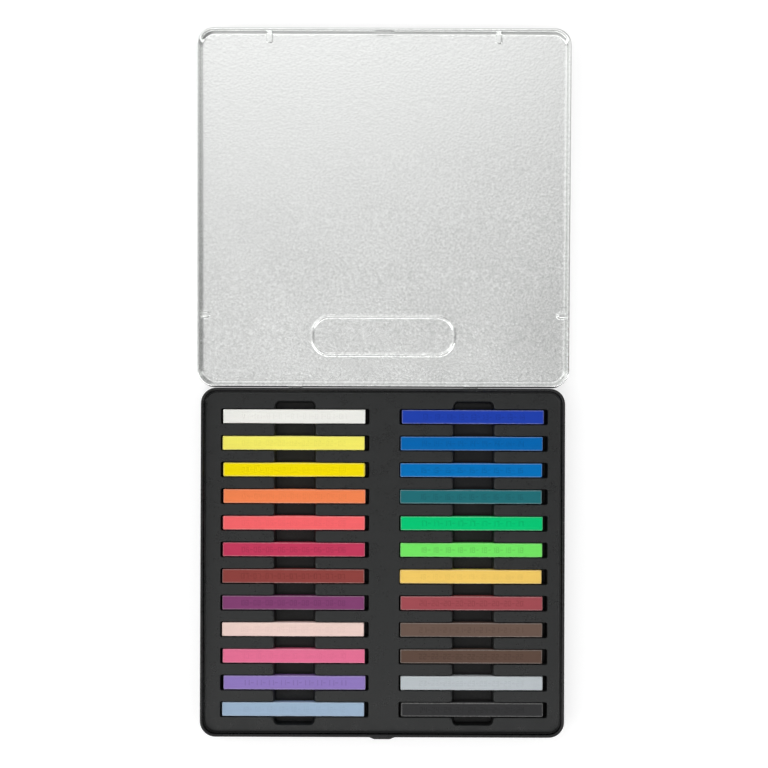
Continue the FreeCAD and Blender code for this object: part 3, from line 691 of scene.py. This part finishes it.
def plastic_material(settings):
    """Soft black film of the tray, with a fine dusty grain. In its hollows, by height, the film is duller
    and its colour is darkened as painted shade."""
    material, tree, shader, mottle = new_material(
        "formed_plastic", shared("mottle", mottle_group),
        {"Color": (*settings.plastic, 1), "Fine Scale": 1000.0, "Coarse Scale": 120.0, "Tint": 0.5,
         "Height": 0.000004},
        {"Specular IOR Level": 0.35})
    place = node(tree, "ShaderNodeTexCoord").outputs["Object"]
    height = node(tree, "ShaderNodeSeparateXYZ", {"Vector": place}).outputs["Z"]
    # Painted shade in the hollows: below the face the colour is darkened, and the same mask makes the film
    # rougher
    hollow = ranged(tree, height, 0.0078, 0.0045, 0, 1, smooth=True)
    painted_hollow_shade = blend(tree, hollow, mottle.outputs["Color"], (0.003, 0.003, 0.003, 1))
    tree.links.new(painted_hollow_shade, shader["Base Color"])
    dull = maths(tree, "ADD", mottle.outputs["Mask"], hollow)
    tree.links.new(ranged(tree, dull, 0.7, 2.0, 0.25, 0.7), shader["Roughness"])
    return material


def chalk_material(name, screen):
    """Pressed pigment of one shade, given as a screen colour of 0 to 255 and turned into linear light.
    The painted shade in the pressed numbers is weaker on pale shades, so they hardly show there."""
    share = np.array(screen) / 255
    shade = np.where(share <= 0.04045, share / 12.92, ((share + 0.055) / 1.055) ** 2.4)
    material, tree, shader, chalk = new_material(
        name, shared("chalk", chalk_group),
        {"Color": (*shade, 1), "Groove Shade": 0.05 if shade.mean() > 0.4 else 0.2},
        {"Specular IOR Level": 0.1})
    tree.links.new(chalk.outputs["Roughness"], shader["Roughness"])
    return material


# Operators


class PASTEL_OT_base(bpy.types.Operator):
    """Black lacquered base with its rolled rim, hinge openings and catch lip"""

    bl_idname = "pastel.base"
    bl_label = "Base"

    def execute(self, context):
        size = Sizes(context.scene.tin)
        sheet, fold, roll = size.sheet, size.fold, size.base_roll
        half_length = -BASE_BOX[0][1] - LIP_REACH
        flat = BASE_BOX[1][0] - fold
        plate = (flat, -half_length + fold, half_length - fold, size.base_corner - fold)
        lug_low = HINGE_AXIS[2] - size.lid_roll - size.lug_gap
        lug_high = lug_low + LUG_BLANK
        levels = np.array((fold + 1.2, lug_low, (lug_low + lug_high) / 2, lug_high))
        foot, rim = (0, fold), (fold - roll, BASE_BOX[1][2] - roll)
        section = section_of(
            (arc(foot, fold - sheet, -90, 0, 8)[1:], arc(foot, fold, 0, -90, 10)[:-1]),
            (arc(rim, roll - sheet, 0, BASE_CURL_END, 20), arc(rim, roll, BASE_CURL_END, 0, 24)),
            (fold - sheet, fold), levels, rising=True)
        start, width = size.window_start + LUG_SIDE_GAP, size.lug_width
        windows = [(*stretch, 1, len(levels) - 1) for stretch in mirrored(start, width)]
        columns = both_signs(lines((0, start, 8), (start, start + width, 1.8), (start + width, flat, 6)))
        rows = apart(np.concatenate((corner_rows(*plate[1:], 12),
                                     np.linspace(plate[1] + plate[3], plate[2] - plate[3], 20))), 0, 5)
        points, quads = pressed_sheet(columns, rows, plate, flat - 20, (sheet, 0.0), section, windows)
        lacquer = lacquer_material(context.scene.tin)
        new_piece("base_shell", points, quads, "base", lacquer, replaces="base_tin")
        self.lip(sheet, half_length, lacquer)
        self.lugs(size, half_length, tinplate_material(context.scene.tin, "lug_metal"))
        return {"FINISHED"}

    def lip(self, sheet, half_length, material):
        """Folded tongue, two sheets thick: rings across a trapezoid whose rim is rounded by a half
        circle."""
        half_thick = sheet
        reach = -BASE_BOX[0][1] - half_length
        middle = BASE_BOX[1][2] - LIP_DROP - half_thick
        across = np.linspace(-1, 1, 25)
        share = soft_step((1 - np.abs(across)) * 5)
        rings = []
        for turn in np.linspace(-math.pi / 2, math.pi / 2, 9):
            out, half_tip, half_root = (end - half_thick + half_thick * math.cos(turn)
                                        for end in (reach, LIP_TIP / 2, LIP_ROOT / 2))
            x = across * (half_tip + (half_root - half_tip) * (1 - share))
            y = -(half_length - sheet / 2 + (out + sheet / 2) * share)
            rings.append(np.stack((x, y, np.full_like(x, middle + half_thick * math.sin(turn))), axis=-1))
        shape = np.array(rings)
        grid = np.arange(shape[..., 0].size).reshape(shape.shape[:2])
        back = np.concatenate((grid[:, 0], grid[::-1, -1]))[None, :]
        faces = [quads_of(grid), grid[0][None, :], grid[-1][None, ::-1], back]
        new_piece("catch_lip", shape.reshape(-1, 3), faces, "base", material)

    def lugs(self, size, half_length, material):
        """Curled tongues: a J of even thickness with rounded sides, carried along X."""
        sheet, width = size.sheet, size.lug_width
        mid = size.lid_roll + size.lug_gap + sheet / 2
        axis = HINGE_AXIS[1:]
        foot = np.stack((np.linspace(half_length - sheet - axis[0], 0, 8), np.full(8, -mid)), axis=-1)
        line = np.concatenate((foot, arc((0, 0), mid, -90, 100, 28)[1:]))
        along = np.gradient(line, axis=0)
        along /= np.linalg.norm(along, axis=1)[:, None]
        normal = np.stack((-along[:, 1], along[:, 0]), axis=-1)
        stations = (*LUG_SIDE, *((width - place, share) for place, share in reversed(LUG_SIDE)))
        stretches = mirrored(size.window_start + LUG_SIDE_GAP, width)
        for name, (first, _) in zip(("hinge_lug_left", "hinge_lug_right"), stretches):
            rings = []
            for place, share in stations:
                half = normal * sheet / 2 * share
                section = np.concatenate((line + half, (line - half)[::-1])) + axis
                rings.append(np.column_stack((np.full(len(section), first + place), section)))
            faces = tube_faces(len(rings), len(rings[0]))
            new_piece(name, np.concatenate(rings), faces, "base", material)


class PASTEL_OT_lid(bpy.types.Operator):
    """Bare tinplate lid with its rolled rim, hinge windows, rests, catch dimple and pressed oval"""

    bl_idname = "pastel.lid"
    bl_label = "Lid"

    def execute(self, context):
        size = Sizes(context.scene.tin)
        sheet, fold, roll, top = size.sheet, size.fold, size.lid_roll, size.lid_depth
        wall = LID_BOX[1][0] - 2 * roll + sheet
        front, rear = -(LID_LENGTH + roll + sheet), -(roll - sheet)
        plate = (wall - fold, front + fold, rear - fold, size.lid_corner - fold)
        sill, catch_top = size.window_height, 3.7
        levels = lines((0, sill, 0.3), (sill, catch_top, 0.28), (catch_top, top - fold, 0.7))
        bend, rim = (0, top - fold), (fold - sheet + roll, 0)
        section = section_of(
            (arc(bend, fold - sheet, 90, 0, 9)[1:-1], arc(bend, fold, 0, 90, 10)[1:-1]),
            (arc(rim, roll, -180, LID_CURL_END, 30)[1:], arc(rim, roll - sheet, LID_CURL_END, -180, 24)[:-1]),
            (fold - sheet, fold), levels, rising=False)
        start, width = size.window_start, size.window_width
        highest = int(np.argmin(np.abs(levels - sill)))
        windows = [(*stretch, 0, highest) for stretch in mirrored(start, width)]
        self.size, self.front, self.side = size, front + sheet, wall - sheet
        columns, rows = self.grid_lines(plate, start, start + width)
        points, quads = pressed_sheet(columns, rows, plate, LID_HELD, (top - sheet, top), section, windows,
                                      self.press, self.dent, capped=True)
        metal = tinplate_material(context.scene.tin, "tinplate")
        new_piece("lid_shell", opened(points), quads, "lid", metal, replaces="lid")
        return {"FINISHED"}

    def grid_lines(self, plate, window_start, window_end):
        """Columns and rows of the panel, closer at the catch, the oval's line, the rests and the rim."""
        half_width, south, north, radius = plate
        catch_end, oval_start, oval_end = 6.3, 26, 37.6
        rest_start, rest_end, side_rest = 56, 60.3, 87.6
        columns = both_signs(lines(
            (0, catch_end, 0.45), (catch_end, oval_start, 2.4), (oval_start, oval_end, 0.4),
            (oval_end, window_start, 1.5), (window_start, window_end, 1.55),
            (window_end, rest_start, 1.5), (rest_start, rest_end, 0.25), (rest_end, side_rest, 4),
            (side_rest, half_width, 0.35)))
        oval_south, oval_north = -33.6, -14.2
        straight = lines((south + radius, -40, 6), (-38.4, oval_south, 0.3), (oval_south, oval_north, 0.42),
                         (oval_north, north - radius, 2.4))
        front_rests = lines((south, south + 5.6, 0.25))
        rows = np.concatenate((corner_rows(*plate[1:], 12), straight, front_rests))
        return columns, apart(rows, 0.03, 5)

    def press(self, x, y):
        """Depth of what is pressed into the panel: four rests and a long oval line. Each is its height
        times a smooth step of the distance inside its outline."""
        front = (REST_SPREAD / 2, self.front + REST_LENGTH / 2 - 1, REST_WIDTH / 2, REST_LENGTH / 2 + 1)
        side = (self.side - SIDE_REST_LENGTH / 2 + 1, -SIDE_REST_PLACE, SIDE_REST_LENGTH / 2 + 1,
                REST_WIDTH / 2)
        depth = np.zeros_like(x)
        for box in (front, side):
            inside = into_round_box(np.abs(x), y, box, REST_CORNER)
            depth = np.maximum(depth, self.size.rest_rise * soft_step(inside / REST_SLOPE))
        oval = into_round_box(x, y, (0, -CARTOUCHE_PLACE, CARTOUCHE_LENGTH / 2, CARTOUCHE_WIDTH / 2),
                              CARTOUCHE_CORNER)
        line = 1 - np.abs(oval - CARTOUCHE_LINE / 2) / (CARTOUCHE_LINE / 2)
        return np.maximum(depth, self.size.cartouche_rise * soft_step(line))

    def dent(self, x, y, height, out_y):
        """How far the front wall is pushed in by the catch dimple: smooth steps along and up."""
        along = soft_step((CATCH_WIDTH / 2 - np.abs(x)) / ((CATCH_WIDTH - CATCH_CREST) / 2))
        level = CATCH_HEIGHT / 2 - abs(height - CATCH_LEVEL - CATCH_HEIGHT / 2)
        return np.where(out_y < -STRAIGHT, CATCH_DEPTH * along * soft_step(level / CATCH_SLOPE), 0)


class PASTEL_OT_tray(bpy.types.Operator):
    """Formed black film with a slot for each stick and two finger channels"""

    bl_idname = "pastel.tray"
    bl_label = "Tray"

    def execute(self, context):
        size = self.size = Sizes(context.scene.tray)
        film, fillet = size.film, size.fillet
        middle = (TRAY_BOX[0] + TRAY_BOX[1]) / 2
        half_width, half_length = (TRAY_BOX[1] - TRAY_BOX[0])[:2] / 2 + size.spread
        height = TRAY_BOX[1][2] - TRAY_BOX[0][2]
        edge, crest = fillet + film, height + size.edge_rise - film / 2
        plate = (half_width - edge, -half_length + edge, half_length - edge, size.corner - edge)
        self.rows = sorted({round(float(box[:, 1].mean() - middle[1]), 2) for box in STICK_BOXES.values()})
        self.columns = [size.grid_right + side * size.column_pitch / 2 for side in (-1, 1)]
        self.grid_middle = (self.rows[0] + self.rows[-1]) / 2
        self.channel_half = (self.rows[-1] - self.rows[0]) / 2 + STICK_SIDE / 2 + size.channel_end
        x, y = rounded_plate(*self.grid_lines(plate), *plate, TRAY_HELD)
        top = np.stack((x, y, height - self.depth(x, y)), axis=-1)
        under = top - film * normals_of(top)
        # The deepest hollows keep off the floor of the base
        under[..., 2] = np.maximum(under[..., 2], 0.02)
        profile = np.concatenate((
            arc((0, height + fillet), fillet, -90, 0, 8)[1:],
            arc((fillet + film / 2, crest), film / 2, 180, 0, 8),
            [(edge, height), (edge, 4.0), (edge, 0.0), (fillet, 0.0), (fillet, 4.0)],
            arc((0, height - film - 0.3), fillet, 0, 90, 6)))
        border = border_of(x, y, plate)
        points, loops, quads = joined(top, under, [ring(border, *place) for place in profile])
        quads += [strip(one, two) for one, two in zip(loops, loops[1:])]
        points += (middle[0], middle[1], TRAY_BOX[0][2])
        new_piece("tray_film", points, quads, "tray",
                  plastic_material(context.scene.tray), replaces="stick_tray", crease=70)
        return {"FINISHED"}

    def grid_lines(self, plate):
        """Columns and rows of the film's grid, closer across the wall of each hollow."""
        size = self.size
        across_channel = np.concatenate((CHANNEL_WALL, (-1.8, -1.2, 1.5, 2.1, 2.7)))
        channel_end = np.concatenate((CHANNEL_WALL, (1.6, 2.2)))
        half_pitch = round((self.rows[1] - self.rows[0]) / 2, 2)
        columns = [np.linspace(-plate[0], plate[0], 46)]
        rows = [corner_rows(*plate[1:], 10), *([row, row + half_pitch] for row in self.rows)]
        for side in (-1, 1):
            for centre in self.columns:
                columns.append(centre + side * (size.slot_length / 2 - SLOT_WALL))
                columns.append(centre + side * (size.channel_width / 2 - across_channel))
            rows += [row + side * (size.slot_width / 2 - SLOT_WALL) for row in self.rows]
            rows.append(self.grid_middle + side * (self.channel_half - channel_end))
        return self.within(columns, plate[0]), self.within(rows, plate[2])

    def within(self, values, limit):
        """Sorted lines within the plate and on its two sides, without those that nearly meet."""
        places = np.concatenate(values)
        places = apart(places[np.abs(places) < limit - 0.02], 0.05)
        return np.concatenate(([-limit], places, [limit]))

    def depth(self, x, y):
        """Depth of the film below its face. A hollow's depth is a smooth step of the distance inside
        its mouth. The mouths of slots and channels run together with small radii, and the deeper
        hollow counts where they cross."""
        size = self.size
        slots, channels = np.full_like(x, -9.0), np.full_like(x, -9.0)
        for centre in self.columns:
            for row in self.rows:
                box = (centre, row, size.slot_length / 2, size.slot_width / 2)
                slots = np.maximum(slots, into_round_box(x, y, box, size.slot_corner))
            box = (centre, self.grid_middle, size.channel_width / 2, self.channel_half)
            channels = np.maximum(channels, into_round_box(x, y, box, size.channel_corner))
        shallow = np.where(channels > -1.2, blended(slots, channels, 1.6), channels)
        deep = size.slot_depth * soft_step((slots + size.shoulder) / (SLOT_SLOPE + size.shoulder))
        low = size.channel_depth * soft_step((shallow + size.shoulder) / (CHANNEL_SLOPE + size.shoulder))
        return np.maximum(deep, low)


class PASTEL_OT_sticks(bpy.types.Operator):
    """Twenty-four pressed pastel sticks with worn edges and a plain pressed number each"""

    bl_idname = "pastel.sticks"
    bl_label = "Sticks"

    def execute(self, context):
        size = Sizes(context.scene.sticks)
        for order, name in enumerate(STICKS, start=1):
            slot = name.split("_", 1)[1]
            shade = slot.split("_", 1)[1]
            screen, wear_share = SHADES[shade]
            points, faces, shares = self.shape(size, STICK_BOXES[name], order, wear_share)
            piece = new_piece("stick_" + shade, points, faces, name, chalk_material(shade, screen),
                              replaces=name, crease=80)
            for label, share in shares.items():
                attribute = piece.data.attributes.new(label, "FLOAT", "POINT")
                attribute.data.foreach_set("value", share.ravel().astype(np.float32))
        return {"FINISHED"}

    def shape(self, size, box, order, wear_share):
        """One stick: a square section with round edges carried along X, drawn in at its ends by a
        quarter circle. The pressed number lowers the top by a smooth step of the distance to its
        strokes, and small waves roughen the edges."""
        middle, half = box.mean(axis=0), (box[1] - box[0]) / 2
        edge = size.edge * (0.6 + wear_share)
        worn = size.most_wear * wear_share
        side_y, side_z = half[1] - edge, half[2] - edge
        across, upright = np.linspace(-1, 1, 31)[1:-1] * side_y, np.linspace(-1, 1, 5)[1:-1] * side_z
        corners = ((side_y, -side_z), (side_y, side_z), (-side_y, side_z), (-side_y, -side_z))
        flats = ((half[1], upright), (across[::-1], half[2]), (-half[1], upright[::-1]),
                 (across[::4], -half[2]))
        section, softness = [], []
        for centre, start, flat in zip(corners, (270, 0, 90, 180), flats):
            flat = np.stack(np.broadcast_arrays(*flat), axis=-1)
            section += [arc(centre, edge, start, start + 90, 6), flat]
            softness += [np.ones(6), np.zeros(len(flat))]
        section, softness = np.concatenate(section), np.concatenate(softness)
        turns = np.linspace(0, math.pi / 2, 7)
        ends = worn * (1 - np.sin(turns))
        first = -half[0] + worn * (1 - np.cos(turns))
        line_half, plain_end = size.line_length / 2, half[0] - worn - 0.5
        inner = lines((-plain_end, -line_half, 2), (-line_half, line_half, 0.25), (line_half, plain_end, 2))
        stations = np.concatenate((first, inner, -first[::-1]))
        inset = np.concatenate((ends, np.zeros(len(inner)), ends[::-1]))
        x = np.repeat(stations[:, None], len(section), axis=1)
        y, z = (section[:, side] * ((half[side + 1] - inset) / half[side + 1])[:, None] for side in (0, 1))
        on_top = section[:, 1] > half[2] - 0.01
        pressed = np.where(on_top, self.pressed(size, x + line_half, y, "%02d-" % order), 0)
        z = z - size.figure_depth * pressed
        rough = 0.035 * unevenness(x * 1.3, y * 2, z * 2, order) * (0.35 + softness)
        kept = 1 - rough / np.hypot(y, z)
        wear = np.maximum(np.broadcast_to(softness, x.shape), (inset > 0.02 * worn)[:, None] * 0.9)
        points = np.stack((x, y * kept, z * kept), axis=-1) + middle
        faces = tube_faces(len(stations), len(section))
        return points.reshape(-1, 3), faces, {"wear": wear, "pressed": pressed}

    def pressed(self, size, x, y, figures):
        """Share of the full depth of the pressed line at a place, from the distance to its strokes. The
        figures are repeated along the line, and its last repeat leaves out the dash."""
        cell = size.figure_height / 2
        pitch = FIGURE_PITCH * cell
        count = len(figures)
        whole = math.floor((size.line_length / pitch - (count - 1)) / count) * count + count - 1
        start = (size.line_length - whole * pitch) / 2
        on_line = (x > start) & (x < start + whole * pitch)
        x = np.mod(x - start, count * pitch)
        nearest = np.full_like(x + y, 9.0)
        for order, figure in enumerate(figures):
            left = order * pitch + FIGURE_GAP * cell
            for stroke in FIGURES[figure]:
                (x0, y0), (x1, y1) = STROKES[stroke]
                foot = np.array((left + x0 * cell, (y0 - 1) * cell))
                span = np.array((x1 - x0, y1 - y0)) * cell
                share = ((x - foot[0]) * span[0] + (y - foot[1]) * span[1]) / (span @ span)
                share = np.clip(share, 0, 1)
                away = np.hypot(x - foot[0] - share * span[0], y - foot[1] - share * span[1])
                nearest = np.minimum(nearest, away)
        broad = size.figure_stroke
        return np.where(on_line, soft_step((broad * 0.9 - nearest) / (broad * 0.7)), 0)


class PASTEL_OT_stage(bpy.types.Operator):
    """White floor, soft lights and the camera straight above"""

    bl_idname = "pastel.stage"
    bl_label = "Stage"

    def execute(self, context):
        settings, scene = context.scene.stage, context.scene
        scene.view_settings.view_transform = "Standard"
        self.floor(settings)
        self.world(settings, scene)
        self.lights(settings)
        camera = bpy.data.cameras.new("camera")
        camera.angle = settings.camera_angle
        camera.clip_end = 20
        view = placed("camera", camera)
        view.location = (settings.camera_x, settings.camera_y, settings.camera_height)
        view.rotation_euler = (0, 0, settings.camera_roll)
        scene.camera = view
        return {"FINISHED"}

    def floor(self, settings):
        """Flat square. Its material glows a little for the camera and in mirrored views, so that it is
        white but keeps the shadow."""
        reach = 3.0
        mesh = bpy.data.meshes.new("floor")
        mesh.from_pydata([(-reach, -reach, 0), (reach, -reach, 0), (reach, reach, 0), (-reach, reach, 0)],
                         [], [(0, 1, 2, 3)])
        material, tree, shader = plain_material("floor", {
            "Base Color": (*settings.floor, 1), "Roughness": 1, "Specular IOR Level": 0,
            "Emission Color": (1, 1, 1, 1)})
        path = node(tree, "ShaderNodeLightPath").outputs
        seen = maths(tree, "MAXIMUM", path["Is Camera Ray"], path["Is Glossy Ray"])
        tree.links.new(maths(tree, "MULTIPLY", seen, settings.floor_glow), shader["Emission Strength"])
        mesh.materials.append(material)
        floor = placed("floor", mesh)

    def world(self, settings, scene):
        """White for the camera. For every other ray a room, as a sum of steps of the ray's direction:
        a grey ceiling that brightens towards the rear, a dim strip and a strip of window in front,
        a window low on the left, a darker right side, and brighter walls low down. All of it is a
        tenth darker at the horizon."""
        world = bpy.data.worlds.new("world")
        world.use_nodes = True
        tree = world.node_tree
        background = tree.nodes["Background"].inputs
        background["Color"].default_value = (1, 1, 1, 1)
        path = node(tree, "ShaderNodeLightPath").outputs
        clear = maths(tree, "MAXIMUM", path["Is Camera Ray"], path["Is Transmission Ray"])
        direction = node(tree, "ShaderNodeTexCoord").outputs["Generated"]
        parts = node(tree, "ShaderNodeSeparateXYZ", {"Vector": direction}).outputs
        rear = maths(tree, "MULTIPLY", ranged(tree, parts["Y"], 0.01, 0.28, 0, settings.rear_light),
                     ranged(tree, parts["Y"], 0.28, 0.45, 1, 0, smooth=True))
        front = maths(tree, "MULTIPLY",
                      ranged(tree, parts["Y"], -0.2, -0.29, 0, settings.front_light, smooth=True),
                      ranged(tree, parts["Y"], -0.32, -0.42, 1, 0, smooth=True))
        room = maths(tree, "ADD", maths(tree, "ADD", rear, front), settings.zenith_light)
        for axis, start, end, added in (
                ("Y", -0.03, -0.14, -0.24),  # dim strip in front
                ("X", -0.35, -0.7, settings.left_light),
                ("X", 0.02, 0.3, -0.46),  # darker right side
                ("X", 0.32, 0.6, 0.1),  # right wall
                ("Y", -0.42, -0.8, 0.25),  # front wall
                ("Y", 0.5, 0.75, 0.15)):  # rear wall
            room = maths(tree, "ADD", room, ranged(tree, parts[axis], start, end, 0, added, smooth=True))
        low = ranged(tree, parts["Z"], 0.05, 0.4, 0.9, 1, smooth=True)
        level = blend(tree, clear, maths(tree, "MULTIPLY", room, low), 1.0)
        tree.links.new(level, background["Strength"])
        scene.world = world

    def lights(self, settings):
        """A large soft light behind and to the left, and a weaker one from the front right, aimed at
        the middle of the open tin."""
        for name, place, size, power in (
                ("key_light", (-0.45, 0.95, 1.15), 0.9, settings.key_light),
                ("fill_light", (0.5, -0.6, 1.3), 0.8, settings.key_light * 0.35)):
            light = bpy.data.lights.new(name, "AREA")
            light.size = size
            light.energy = power
            lamp = placed(name, light)
            lamp.location = place
            lamp.visible_glossy = False
            aim = np.array((0, 0.09, 0)) - np.array(place)
            lamp.rotation_euler = (math.atan2(math.hypot(aim[0], aim[1]), -aim[2]), 0,
                                   math.atan2(aim[1], aim[0]) - math.pi / 2)


class PASTEL_PT_panel(bpy.types.Panel):
    """Buttons that make each group of pieces"""

    bl_idname = "PASTEL_PT_panel"
    bl_label = "Pastel tin"
    bl_space_type = "VIEW_3D"
    bl_region_type = "UI"
    bl_category = "Pastel tin"

    def draw(self, context):
        for operator in OPERATORS:
            self.layout.operator(operator.bl_idname)


SETTINGS = {"tin": TinSettings, "tray": TraySettings, "sticks": StickSettings, "stage": StageSettings}
OPERATORS = (PASTEL_OT_base, PASTEL_OT_lid, PASTEL_OT_tray, PASTEL_OT_sticks, PASTEL_OT_stage)


def register():
    """Add the classes, and the settings to the scene."""
    for kind in (*SETTINGS.values(), *OPERATORS, PASTEL_PT_panel):
        bpy.utils.register_class(kind)
    for name, kind in SETTINGS.items():
        setattr(bpy.types.Scene, name, bpy.props.PointerProperty(type=kind))


def unregister():
    """Take the settings and the classes away again."""
    for name in SETTINGS:
        delattr(bpy.types.Scene, name)
    for kind in reversed((*SETTINGS.values(), *OPERATORS, PASTEL_PT_panel)):
        bpy.utils.unregister_class(kind)


def main():
    """Make every piece and the stage."""
    register()
    bpy.ops.pastel.base()
    bpy.ops.pastel.lid()
    bpy.ops.pastel.tray()
    bpy.ops.pastel.sticks()
    bpy.ops.pastel.stage()


if __name__ == "__main__":
    main()
